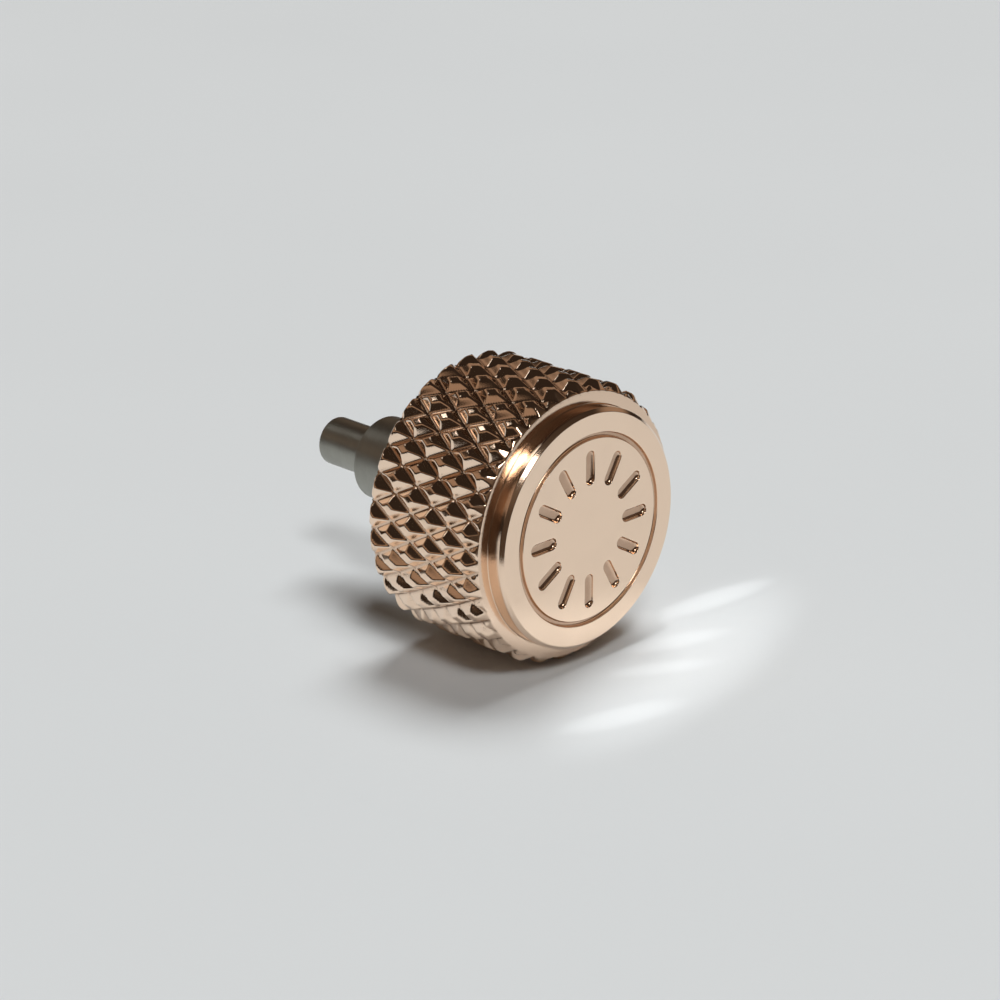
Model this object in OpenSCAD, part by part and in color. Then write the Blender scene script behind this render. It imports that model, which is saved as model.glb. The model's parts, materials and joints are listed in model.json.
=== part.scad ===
/* [Head] */
// Diameter over the points of the knurl
knurl_d = 7; // [6.8:0.05:7.6]
// Length of the head, from its flat face to the rear edge of its skirt
head_l = 4.05; // [3.8:0.05:5]
// Thickness of the closed front, from the flat face to the cavity behind it
front_t = 1; // [0.9:0.05:1.2]
// Diameter of the raised flat face, over its bevel
face_d = 5.9; // [5.8:0.05:6]
// Bevel around the flat face
face_bevel = 0.14; // [0.06:0.01:0.2]
// Distance of the flat shoulder behind the face
shoulder = 0.42; // [0.3:0.01:0.5]
// Chamfer from the shoulder's edge out to the knurl's points
front_chamfer = 0.22; // [0.16:0.02:0.26]
// Chamfer at the rear edge of the skirt
rear_chamfer = 0.14; // [0.08:0.02:0.24]

/* [Knurl] */
// Number of diamonds around the head
diamonds = 30; // [24:1:36]
// Length of one diamond along the crown's axis
diamond_l = 1.25; // [1:0.01:1.5]
// Distance of the first whole row of points behind the flat face
first_points = 0.84; // [0.7:0.01:0.9]
// Depth of the grooves between the diamonds
knurl_depth = 0.26; // [0.16:0.01:0.3]
// Angle by which the knurl is turned from lying evenly on two rows of its points
knurl_turn = 0.15; // [0:0.05:2]

/* [Engraving] */
// Number of batons engraved in the flat face
batons = 12; // [6:1:12]
// Width of one baton
baton_w = 0.3; // [0.2:0.02:0.36]
// Length of one baton, from end to end
baton_l = 0.86; // [0.6:0.02:1]
// Radius that the outer ends of the batons reach
baton_reach = 2; // [1.8:0.05:2.1]
// Radius of the middle of the engraved ring
ring_r = 2.34; // [2.25:0.01:2.5]
// Width of the engraved ring
ring_w = 0.14; // [0.08:0.02:0.2]
// Depth of the engraving
engrave_depth = 0.1; // [0.05:0.01:0.16]

/* [Thread sleeve] */
// Outer diameter of the sleeve that is pressed into the head
sleeve_d = 5.5; // [5.3:0.05:5.7]
// Thickness of the sleeve's floor
floor_t = 0.6; // [0.5:0.05:0.8]
// Distance of the sleeve's rear end inside the skirt
sleeve_drop = 0.15; // [0.05:0.05:0.3]
// Major diameter of the internal thread that takes the case tube
thread_d = 4.5; // [4.3:0.05:4.7]
// Pitch of that thread
thread_pitch = 0.35; // [0.25:0.05:0.4]
// Width of the relief groove in front of the thread, and least width of the plain mouth behind it
thread_relief = 0.2; // [0.15:0.05:0.3]

/* [Seals] */
// Thickness of the rubber gasket at the bottom of the recess
gasket_t = 0.5; // [0.4:0.05:0.6]
// Thickness of the steel washer over the gasket
washer_t = 0.15; // [0.1:0.05:0.2]

/* [Centre tube] */
// Outer diameter of the centre tube
tube_d = 2.15; // [2.1:0.05:2.4]
// Length of the centre tube behind the skirt's rear edge
tube_reach = 3.1; // [2.6:0.1:3.6]
// Diameter of the tube's spigot, pressed into the sleeve's floor
spigot_d = 1.6; // [1.2:0.05:1.7]
// Thickness of the tube's wall around its bore
tube_wall = 0.25; // [0.22:0.01:0.28]
// Thickness of metal between the spigot's shoulder and the end of the bore
tube_floor = 0.3; // [0.2:0.05:0.5]
// Bevel at the tube's rear end
tube_bevel = 0.08; // [0.04:0.01:0.1]

/* [Drive bush] */
// Length of the bush pressed into the tube's rear end
bush_l = 0.9; // [0.7:0.05:1.1]
// Distance of the bush's rear end inside the tube
bush_drop = 0.05; // [0.03:0.01:0.1]
// Thickness of the tube's wall around the bush
bush_wall = 0.16; // [0.14:0.01:0.18]

/* [Stem post] */
// Diameter of the post's round end
post_d = 1.24; // [1.2:0.01:1.25]
// Width of the post's hexagon across flats
key_d = 1.28; // [1.26:0.01:1.3]
// Travel of the post, from its stop to fully pushed in
travel = 1.2; // [1:0.05:1.3]
// Length of the post that still shows when it is fully pushed in
post_left = 0.55; // [0.4:0.05:0.8]
// Length of the hexagon that is held in the bush
key_l = 0.8; // [0.6:0.05:0.85]
// Thickness of the flange that stops the post
flange_t = 0.35; // [0.25:0.05:0.45]
// Diameter of the nose that guides the spring
nose_d = 0.8; // [0.7:0.05:0.85]
// Length of that nose in front of the flange
nose_l = 0.9; // [0.7:0.05:1.1]
// Bevel at the post's ends
post_bevel = 0.06; // [0.03:0.01:0.08]
// Diameter of the tapped hole for the winding stem
stem_hole_d = 0.9; // [0.8:0.05:0.9]
// Depth of the tapped hole
stem_hole_l = 2.4; // [2:0.1:2.4]

/* [Spring] */
// Diameter of the spring's wire
wire_d = 0.2; // [0.16:0.01:0.22]
// Number of turns in the spring
turns = 5.25; // [4.25:0.5:5.25]
// Thickness of the washer between the spring and the post's flange
slip_t = 0.12; // [0.1:0.01:0.16]

/* [Clearances] */
// Gap left at each pressed seat
press_gap = 0.01; // [0.005:0.005:0.01]
// Radial running clearance of the post in the bush and the tube
slide_gap = 0.02; // [0.02:0.01:0.03]
// Radial clearance of the gasket and its washer around the centre tube
seal_gap = 0.04; // [0.03:0.01:0.08]
// Radial clearance of the spring inside the tube
spring_gap = 0.05; // [0.04:0.01:0.06]
// End float between the post's flange and the bush
end_float = 0.02; // [0.01:0.01:0.04]

/* [Hidden] */
$fn = 96;
// Overshoot of the cutting shapes past the faces that they cut
over = 0.1;
// Share of its pitch that a thread is deep
thread_share = 0.541;

// Radii of the head, from the knurl inwards
knurl_r = knurl_d / 2;
root_r = knurl_r - knurl_depth;
face_r = face_d / 2;
sleeve_r = sleeve_d / 2;
// Half the angle between two neighbouring points of the knurl
half_step = 90 / diamonds;
row_l = diamond_l / 2;
// Rows of the knurl: whole ones from the first points on, and one more at each end
whole_rows = floor((head_l - rear_chamfer - first_points) / row_l);
last_row = whole_rows + 2;

// Radii of the inner pieces
thread_r = thread_d / 2;
thread_inner_r = thread_r - thread_share * thread_pitch;
tube_r = tube_d / 2;
spigot_r = spigot_d / 2;
bore_r = tube_r - tube_wall;
bush_r = tube_r - bush_wall;
post_r = post_d / 2;
flange_r = bore_r - slide_gap;
nose_r = nose_d / 2;
stem_hole_r = stem_hole_d / 2;
wire_r = wire_d / 2;
coil_r = bore_r - spring_gap - wire_r;

// Places along the axis, as distances behind the flat face
tube_seat = front_t + floor_t;
gasket_end = tube_seat + gasket_t;
washer_end = gasket_end + washer_t;
sleeve_end = head_l - sleeve_drop;
thread_start = washer_end + thread_relief;
thread_turns = floor((sleeve_end - thread_relief - thread_start) / thread_pitch);
bore_start = tube_seat + tube_floor;
tube_end = head_l + tube_reach;
bush_end = tube_end - bush_drop;
bush_start = bush_end - bush_l;
flange_end = bush_start - end_float;
flange_start = flange_end - flange_t;
key_end = bush_start + key_l;
slip_start = flange_start - slip_t;
nose_start = flange_start - nose_l;
post_end = tube_end + travel + post_left;

// The spring's wire, as six-sided rings around a helix between the bore's end and the slip washer
spring_sides = 6;
spring_rings_per_turn = 12;
spring_rings = round(turns * spring_rings_per_turn);
spring_rise = slip_start - bore_start - wire_d;

// The crown lies on the lowest points of its knurl, with its middle over the origin
axis_z = knurl_r * cos(half_step - knurl_turn);
face_x = post_end / 2;

// Sets its children on the crown's axis: their Z is the distance behind the flat face
module on_axis() {
  translate([face_x, 0, axis_z])
    rotate([0, -90, 0])
      children();
}

// A round piece from its outline, given as [radius, distance behind the flat face]
module turned(outline) {
  on_axis()
    rotate_extrude()
      polygon(outline);
}

// A plain ring, or a disc where its inner radius is 0
module ring(inner_r, outer_r, start, end) {
  turned([[inner_r, start], [outer_r, start], [outer_r, end], [inner_r, end]]);
}

// Index of the knurl's corner at a step around the head and a row along it
function corner(step, row) = row * 2 * diamonds + step % (2 * diamonds);

// Distance of a row behind the flat face
function row_place(row) =
  row == 0 ? shoulder
  : row == last_row ? head_l
  : first_points + (row - 1) * row_l;

// Radius of the knurl's points in a row, which the chamfers lower in the first and last
function point_r(row) =
  row == 0 ? knurl_r - front_chamfer
  : row == last_row ? knurl_r - rear_chamfer
  : knurl_r;

// Corners of the knurl: every other one is a point, and the rest are where grooves cross
function knurl_corners() = [
  for (row = [0:last_row], step = [0:2 * diamonds - 1])
    let (
      r = (step + row) % 2 == 0 ? root_r : point_r(row),
      turn = (2 * step + 1) * half_step + knurl_turn
    )
    [r * cos(turn), r * sin(turn), row_place(row)]
];

// Two triangles between four neighbouring corners, split along the bottom of the groove
function diamond_side(step, row) =
  (step + row) % 2 == 0
  ? [
      [corner(step, row), corner(step, row + 1), corner(step + 1, row + 1)],
      [corner(step, row), corner(step + 1, row + 1), corner(step + 1, row)]
    ]
  : [
      [corner(step, row), corner(step, row + 1), corner(step + 1, row)],
      [corner(step, row + 1), corner(step + 1, row + 1), corner(step + 1, row)]
    ];

// A bar with the diamond knurl all over its side, from the shoulder to the rear of the skirt
module knurled_bar() {
  sides = [
    for (row = [0:last_row - 1], step = [0:2 * diamonds - 1])
      each diamond_side(step, row)
  ];
  front = [for (step = [0:2 * diamonds - 1]) corner(step, 0)];
  rear = [for (step = [2 * diamonds - 1:-1:0]) corner(step, last_row)];
  on_axis()
    polyhedron(points = knurl_corners(), faces = concat(sides, [front, rear]));
}

// One engraved baton, along the radius that points up
module baton() {
  half_w = baton_w / 2;
  run = baton_l - baton_w;
  inner_end = baton_reach - half_w - run;
  translate([inner_end, -half_w, -over])
    cube([run, baton_w, over + engrave_depth]);
  for (place = [inner_end, inner_end + run])
    translate([place, 0, -over])
      cylinder(r = half_w, h = over + engrave_depth);
}

// Everything that is engraved in the flat face
module engraving() {
  on_axis()
    for (i = [0:batons - 1])
      rotate([0, 0, 360 * i / batons])
        baton();
  ring(ring_r - ring_w / 2, ring_r + ring_w / 2, -over, engrave_depth);
}

// The raised face, down into the knurled bar behind the shoulder
module raised_face() {
  turned([
    [0, 0],
    [face_r - face_bevel, 0],
    [face_r, face_bevel],
    [face_r, shoulder + over],
    [0, shoulder + over]
  ]);
}

// Knurled head with its raised face, flat shoulder and hollow skirt
module crown_head() {
  color([0.8, 0.57, 0.46])
    difference() {
      union() {
        knurled_bar();
        raised_face();
      }
      ring(0, sleeve_r, front_t, head_l + over);
      engraving();
    }
}

// Outline of the sleeve's inside: recess, relief groove, thread and plain mouth
function sleeve_inside() = concat(
  [
    [thread_inner_r, tube_seat],
    [thread_inner_r, washer_end],
    [thread_r, washer_end],
    [thread_r, thread_start]
  ],
  [
    for (i = [0:thread_turns - 1])
      each [
        [thread_inner_r, thread_start + (i + 0.5) * thread_pitch],
        [thread_r, thread_start + (i + 1) * thread_pitch]
      ]
  ],
  [[thread_r, sleeve_end]]
);

// Steel sleeve inside the skirt, with the thread that takes the case tube
module thread_sleeve() {
  color([0.72, 0.73, 0.74])
    turned(concat(
      [[spigot_r + press_gap, front_t], [spigot_r + press_gap, tube_seat]],
      sleeve_inside(),
      [[sleeve_r - press_gap, sleeve_end], [sleeve_r - press_gap, front_t]]
    ));
}

// Rubber gasket at the bottom of the sleeve's recess
module seat_gasket() {
  color([0.1, 0.1, 0.11])
    ring(tube_r + seal_gap, thread_inner_r - press_gap, tube_seat, gasket_end);
}

// Thin steel washer that the case tube presses on
module gasket_washer() {
  color([0.66, 0.67, 0.68])
    ring(tube_r + seal_gap, thread_inner_r - press_gap, gasket_end, washer_end);
}

// Tube that carries the spring and the post, and shows behind the skirt
module centre_tube() {
  color([0.6, 0.61, 0.6])
    turned([
      [0, front_t],
      [spigot_r, front_t],
      [spigot_r, tube_seat],
      [tube_r, tube_seat],
      [tube_r, tube_end - tube_bevel],
      [tube_r - tube_bevel, tube_end],
      [bush_r, tube_end],
      [bush_r, bush_start],
      [bore_r, bush_start],
      [bore_r, bore_start],
      [0, bore_start]
    ]);
}

// A hexagonal bar on the crown's axis, from one distance behind the face to another
module hex_bar(across_flats, start, end) {
  on_axis()
    translate([0, 0, start])
      cylinder(d = across_flats / cos(30), h = end - start, $fn = 6);
}

// Bush with a hexagonal hole, which drives the post and keeps it in
module drive_bush() {
  color([0.74, 0.66, 0.44])
    difference() {
      ring(0, bush_r - press_gap, bush_start, bush_end);
      hex_bar(key_d + 2 * slide_gap, bush_start - over, bush_end + over);
    }
}

// Sprung post: nose, flange, hexagon and round end with the tapped hole
module stem_post() {
  color([0.5, 0.51, 0.5])
    difference() {
      union() {
        turned([
          [0, nose_start],
          [nose_r - post_bevel, nose_start],
          [nose_r, nose_start + post_bevel],
          [nose_r, flange_start],
          [flange_r, flange_start],
          [flange_r, flange_end],
          [post_r, flange_end],
          [post_r, post_end - post_bevel],
          [post_r - post_bevel, post_end],
          [0, post_end]
        ]);
        hex_bar(key_d, flange_end - flange_t / 2, key_end);
      }
      on_axis()
        translate([0, 0, post_end - stem_hole_l])
          cylinder(r = stem_hole_r, h = stem_hole_l + over);
    }
}

// Washer that lets the spring slip on the post's flange
module slip_washer() {
  color([0.74, 0.66, 0.44])
    ring(nose_r + slide_gap, flange_r, slip_start, flange_start);
}

// Points of the spring's wire, as rings around a helix
function spring_points() = [
  for (i = [0:spring_rings], j = [0:spring_sides - 1])
    let (
      turn = 360 * i / spring_rings_per_turn,
      around = 360 * j / spring_sides,
      r = coil_r + wire_r * cos(around)
    )
    [
      r * cos(turn),
      r * sin(turn),
      bore_start + wire_r + spring_rise * i / spring_rings + wire_r * sin(around)
    ]
];

// Index of a point on one of those rings
function spring_index(i, j) = i * spring_sides + j % spring_sides;

// Compression spring that pushes the post out
module post_spring() {
  sides = [
    for (i = [0:spring_rings - 1], j = [0:spring_sides - 1])
      each [
        [spring_index(i, j), spring_index(i, j + 1), spring_index(i + 1, j)],
        [spring_index(i, j + 1), spring_index(i + 1, j + 1), spring_index(i + 1, j)]
      ]
  ];
  caps = [
    for (j = [1:spring_sides - 2])
      each [
        [0, spring_index(0, j + 1), spring_index(0, j)],
        [
          spring_index(spring_rings, 0),
          spring_index(spring_rings, j),
          spring_index(spring_rings, j + 1)
        ]
      ]
  ];
  color([0.55, 0.56, 0.58])
    on_axis()
      polyhedron(points = spring_points(), faces = concat(sides, caps));
}

crown_head();
thread_sleeve();
seat_gasket();
gasket_washer();
centre_tube();
drive_bush();
stem_post();
slip_washer();
post_spring();
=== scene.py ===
"""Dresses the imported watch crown: knurl, engraving, threads, spring, finishes, stage and camera."""

import json
import math

import bpy
import numpy as np
from bpy.props import FloatProperty, FloatVectorProperty, IntProperty, PointerProperty
from mathutils import Matrix, Vector
from mathutils.geometry import delaunay_2d_cdt


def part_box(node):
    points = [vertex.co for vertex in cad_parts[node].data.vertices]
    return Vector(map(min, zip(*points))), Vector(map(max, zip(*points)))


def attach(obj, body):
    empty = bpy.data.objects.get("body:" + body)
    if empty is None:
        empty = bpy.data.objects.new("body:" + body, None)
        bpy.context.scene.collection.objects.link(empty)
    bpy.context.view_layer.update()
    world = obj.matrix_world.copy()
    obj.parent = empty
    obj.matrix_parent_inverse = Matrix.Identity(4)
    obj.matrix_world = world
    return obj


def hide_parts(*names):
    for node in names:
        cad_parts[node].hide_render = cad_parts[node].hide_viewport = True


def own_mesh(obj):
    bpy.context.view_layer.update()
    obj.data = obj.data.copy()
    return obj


bl_info = {
    "name": "Watch crown",
    "version": (1, 0, 0),
    "blender": (4, 5, 0),
    "location": "3D View > Sidebar > Crown",
    "description": "Builds the visible pieces of a screw-down watch crown around its packed model",
    "category": "Object",
}

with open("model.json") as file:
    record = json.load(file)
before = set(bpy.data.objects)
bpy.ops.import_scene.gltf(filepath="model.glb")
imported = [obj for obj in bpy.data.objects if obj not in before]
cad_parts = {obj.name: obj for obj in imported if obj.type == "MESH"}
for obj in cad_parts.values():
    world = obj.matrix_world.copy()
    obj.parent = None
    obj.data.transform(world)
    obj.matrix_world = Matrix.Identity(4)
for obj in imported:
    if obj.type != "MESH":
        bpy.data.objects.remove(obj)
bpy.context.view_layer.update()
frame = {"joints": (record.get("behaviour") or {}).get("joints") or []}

MM = 0.001
# Lengths that differ by less than this, in metres, are the same
TINY = 1e-9

# The crown's axis runs along X, and places along it are given as distances behind the flat face
HEAD_LOW, HEAD_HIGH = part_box("crown_head")
FACE_X = HEAD_HIGH.x
AXIS_Z = (HEAD_LOW.z + HEAD_HIGH.z) / 2


def start_of(node):
    """Distance behind the flat face at which a node begins."""
    return FACE_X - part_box(node)[1].x


def end_of(node):
    """Distance behind the flat face at which a node ends."""
    return FACE_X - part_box(node)[0].x


def span(node):
    """Largest radius of a node about the crown's axis, and where it begins and ends."""
    return (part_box(node)[1].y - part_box(node)[0].y) / 2, start_of(node), end_of(node)


def length(name, description, millimetres):
    """A length that a user may change."""
    default = millimetres * MM
    return FloatProperty(
        name=name, description=description, default=default, min=0.0, unit="LENGTH", precision=6
    )


def angle(name, description, degrees):
    """An angle that a user may change."""
    return FloatProperty(
        name=name, description=description, default=math.radians(degrees), subtype="ANGLE"
    )


def share(name, description, value):
    """A share or factor that a user may change."""
    return FloatProperty(
        name=name, description=description, default=value, min=0.0, max=1.0, subtype="FACTOR"
    )


def number(name, description, value):
    """A plain number that a user may change."""
    return FloatProperty(name=name, description=description, default=value)


def count_of(name, description, value, least=1):
    """A number of like things that a user may change."""
    return IntProperty(name=name, description=description, default=value, min=least)


def colour(name, description, value):
    """A colour that a user may change."""
    return FloatVectorProperty(
        name=name, description=description, default=value, size=3, min=0.0, max=1.0, subtype="COLOR"
    )


class HeadSizes(bpy.types.PropertyGroup):
    """Sizes of the knurled head."""

    diamonds: count_of("Diamonds", "Number of diamonds around the head", 30, least=3)
    diamond_l: length("Diamond length", "Length of one diamond along the crown's axis", 1.25)
    knurl_r: length("Knurl radius", "Radius over the points of the knurl", 3.5)
    knurl_depth: length("Knurl depth", "Depth of the grooves between the diamonds", 0.21)
    first_points: length("First points", "Distance of the first points behind the face", 0.84)
    tip_flat: share("Blunt tips", "Share of a diamond's height that is missing at its point", 0.36)
    chamfer_l: length("Chamfer length", "Length of the front chamfer along the crown's axis", 0.23)
    knurl_turn: angle("Knurl turn", "Turn of the knurl about the axis", 0.8)
    valley_round: share("Groove rounding", "Rounding of grooves, as a share of a diamond", 0.012)
    ridge_round: share("Ridge rounding", "Rounding of ridges, as a share of their height", 0.03)
    face_r: length("Face radius", "Radius of the raised flat face", 2.98)
    face_bevel: length("Face bevel", "Bevel around the flat face", 0.09)
    bevel_edge: length("Bevel edge", "Radius that rounds both edges of that bevel", 0.03)
    foot: length("Foot", "Radius that rounds the corner between the face and the shoulder", 0.025)
    shoulder_edge: length("Shoulder edge", "Radius that rounds the shoulder's outer edge", 0.015)
    shoulder: length("Shoulder", "Distance of the flat shoulder behind the flat face", 0.46)
    front_chamfer: length("Front chamfer", "Chamfer from the shoulder to the knurl's points", 0.2)
    rear_chamfer: length("Rear chamfer", "Chamfer at the rear edge of the skirt", 0.14)
    chamfer_round: length("Chamfer rounding", "Height over which a chamfer meets diamonds", 0.035)
    front_t: length("Front thickness", "Thickness of the closed front of the head", 1.0)
    bore_r: length("Skirt bore", "Radius of the bore that holds the thread sleeve", 2.75)


class EngravingSizes(bpy.types.PropertyGroup):
    """Sizes of the engraving in the flat face."""

    batons: count_of("Batons", "Number of engraved batons", 12)
    baton_w: length("Baton width", "Width of one baton", 0.3)
    baton_l: length("Baton length", "Length of one baton, from end to end", 0.86)
    baton_reach: length("Baton reach", "Radius that the outer ends of the batons reach", 2.0)
    ring_r: length("Ring radius", "Radius of the middle of the engraved ring", 2.34)
    ring_w: length("Ring width", "Width of the engraved ring", 0.14)
    depth: length("Depth", "Depth of the engraving", 0.1)
    lip: length("Lip", "Rounding of the engraving's edges", 0.012)


class InnerSizes(bpy.types.PropertyGroup):
    """Sizes of the pieces inside the skirt and behind it."""

    thread_r: length("Thread radius", "Major radius of the thread that takes the case tube", 2.25)
    thread_inner_r: length("Thread inner radius", "Minor radius of that thread", 2.0607)
    thread_pitch: length("Thread pitch", "Pitch of that thread", 0.35)
    thread_start: length("Thread start", "Distance of the first turn behind the face", 2.45)
    thread_turns: count_of("Thread turns", "Whole turns of that thread", 3)
    recess_end: length("Recess end", "Distance of the recess's end, behind the washer", 2.25)
    tube_seat: length("Tube seat", "Distance of the centre tube's shoulder behind the face", 1.6)
    spigot_r: length("Spigot radius", "Radius of the centre tube's spigot", 0.8)
    bore_start: length("Bore start", "Distance of the bore's start behind the face", 1.9)
    bore_r: length("Tube bore", "Radius of the centre tube's bore", 0.825)
    bush_seat_r: length("Bush seat", "Radius of the counterbore that holds the drive bush", 0.915)
    tube_bevel: length("Tube bevel", "Bevel at the centre tube's rear end", 0.08)
    press_gap: length("Press gap", "Gap that is left at each pressed seat", 0.01)
    seal_inner_r: length("Seal inner radius", "Inner radius of the gasket and its washer", 1.115)
    hexagon_hole: length("Hexagonal hole", "Width across the flats of the bush's hole", 1.32)
    hexagon_key: length("Hexagonal key", "Width across the flats of the post's hexagon", 1.28)
    key_end: length("Key end", "Distance of the hexagon's rear end behind the face", 7.0)
    flange_start: length("Flange start", "Distance of the flange's front behind the face", 5.83)
    flange_end: length("Flange end", "Distance of the flange's rear behind the face", 6.18)
    nose_r: length("Nose radius", "Radius of the nose that guides the spring", 0.4)
    post_r: length("Post radius", "Radius of the post's round end", 0.62)
    stem_hole_r: length("Stem hole radius", "Major radius of the hole for the winding stem", 0.45)
    stem_hole_l: length("Stem hole depth", "Depth of that hole", 2.4)
    stem_pitch: length("Stem thread pitch", "Pitch of the thread in that hole", 0.225)
    stem_lead: length("Stem thread lead", "Plain length at the mouth of that hole", 0.08)
    slip_inner_r: length("Slip washer bore", "Inner radius of the slip washer", 0.42)
    wire_r: length("Wire radius", "Radius of the spring's wire", 0.1)
    spring_turns: number("Spring turns", "Number of turns in the spring", 5.25)
    sleeve_round: length("Sleeve rounding", "Rounding of the sleeve's front edge", 0.1)
    gasket_round: length("Gasket rounding", "Rounding of the gasket's edges", 0.16)
    post_round: length("Post rounding", "Rounding of the post's rear edge", 0.07)


class Finishes(bpy.types.PropertyGroup):
    """Colours of the finishes."""

    gold: colour("Rose gold", "Colour of the polished head", (1.0, 0.765, 0.585))
    # Painted shade: the colour that the gold is darkened towards in the grooves, the engraving and
    # the shoulder's corner
    gold_painted_shade: colour("Rose gold shade", "Colour of the head in its grooves", (0.42, 0.25, 0.16))
    steel: colour("Steel", "Colour of the turned steel pieces", (0.5, 0.49, 0.47))
    tube: colour("Tube steel", "Colour of the centre tube", (0.37, 0.365, 0.325))
    brass: colour("Brass", "Colour of the bush and the slip washer", (0.72, 0.52, 0.24))
    rubber: colour("Rubber", "Colour of the gasket", (0.012, 0.012, 0.013))
    dust: colour("Dust", "Colour of the dust on the gasket", (0.06, 0.058, 0.055))
    wire: colour("Spring wire", "Colour of the spring", (0.42, 0.42, 0.44))
    wire_tint: colour("Wire tint", "Colour of the spring where heat tinted it", (0.36, 0.27, 0.16))
    floor: colour("Floor", "Colour of the floor", (0.668, 0.713, 0.754))


class StageSettings(bpy.types.PropertyGroup):
    """Place of the camera, and strength of the lamps."""

    azimuth: angle("Azimuth", "Angle of the camera round the crown", 44.59)
    elevation: angle("Elevation", "Height of the camera above the horizon", 21.17)
    lens: number("Lens", "Focal length of the camera in millimetres", 108.0)
    distance: length("Distance", "Depth of the flat face's middle in front of the camera", 71.18)
    face_px: FloatVectorProperty(
        name="Face in frame",
        description="Pixel at which the flat face's middle shows",
        size=2,
        default=(589.9, 530.0),
    )
    floor_r: length("Floor radius", "Radius of the floor", 1500.0)
    paper_r: length("Paper radius", "Radius of the floor's middle, which shows in the metal", 740.0)
    paper_off: length("Paper offset", "Distance from the crown back to that middle's centre", 726.0)
    sky: number("Room", "Light that comes from the dark room overhead", 0.026)
    front_glow: number("Front glow", "Light of the room in front of the face", 0.07)
    band: number("Room band", "Light that comes from the room near the horizon", 0.3)
    band_low: share("Band start", "Height, as a sine, at which the light band starts", 0.3)
    band_high: share("Band end", "Height, as a sine, at which the light band ends", 0.48)
    band_edge: share("Band edge", "Height, as a sine, over which the band fades at each edge", 0.12)
    room_tint: colour("Room tint", "Colour of the room's light", (1.0, 0.7, 0.5))
    backdrop: colour("Backdrop", "Colour that the camera sees past the floor", (0.62, 0.64, 0.655))


GROUPS = {
    "crown_head_sizes": HeadSizes,
    "crown_engraving": EngravingSizes,
    "crown_inner_sizes": InnerSizes,
    "crown_finishes": Finishes,
    "crown_stage": StageSettings,
}


# Shader maths


class Field:
    """A number that changes over a surface. Sums and products on it add Math nodes."""

    def __init__(self, tree, socket):
        self.tree = tree
        self.socket = socket

    def maths(self, operation, *values):
        """The result of one Math node."""
        node = self.tree.add("ShaderNodeMath", {"operation": operation}, dict(enumerate(values)))
        return Field(self.tree, node.outputs[0])

    def __add__(self, other):
        return self.maths("ADD", self, other)

    __radd__ = __add__

    def __mul__(self, other):
        return self.maths("MULTIPLY", self, other)

    __rmul__ = __mul__

    def stepped(self, low, high):
        """0 where the field is under low, 1 where it is over high, and smooth between them."""
        sockets = {"Value": self, "From Min": low, "From Max": high}
        node = self.tree.add("ShaderNodeMapRange", {"interpolation_type": "SMOOTHSTEP"}, sockets)
        return Field(self.tree, node.outputs["Result"])


class NodeTree:
    """The nodes of a material or of the world, in place of those that it starts with."""

    def __init__(self, owner):
        owner.use_nodes = True
        self.nodes = owner.node_tree.nodes
        self.links = owner.node_tree.links
        self.nodes.clear()

    def add(self, kind, settings=None, sockets=None):
        """A node of one type: its settings or a ramp's stops are set first, then its sockets."""
        node = self.nodes.new(kind)
        for key, value in (settings or {}).items():
            if key == "stops":
                self.set_stops(node.color_ramp, value)
            else:
                setattr(node, key, value)
        for key, value in (sockets or {}).items():
            self.feed(node.inputs[key], value)
        return node

    def set_stops(self, ramp, stops):
        """Smooth steps between stops, each a place and a grey."""
        ramp.interpolation = "EASE"
        while len(ramp.elements) < len(stops):
            ramp.elements.new(0.5)
        for element, (place, grey) in zip(ramp.elements, stops):
            element.position = place
            element.color = (grey, grey, grey, 1.0)

    def feed(self, socket, value):
        """Gives a socket a value or a link."""
        value = value.socket if isinstance(value, Field) else value
        if isinstance(value, bpy.types.NodeSocket):
            self.links.new(value, socket)
        else:
            socket.default_value = value


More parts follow.
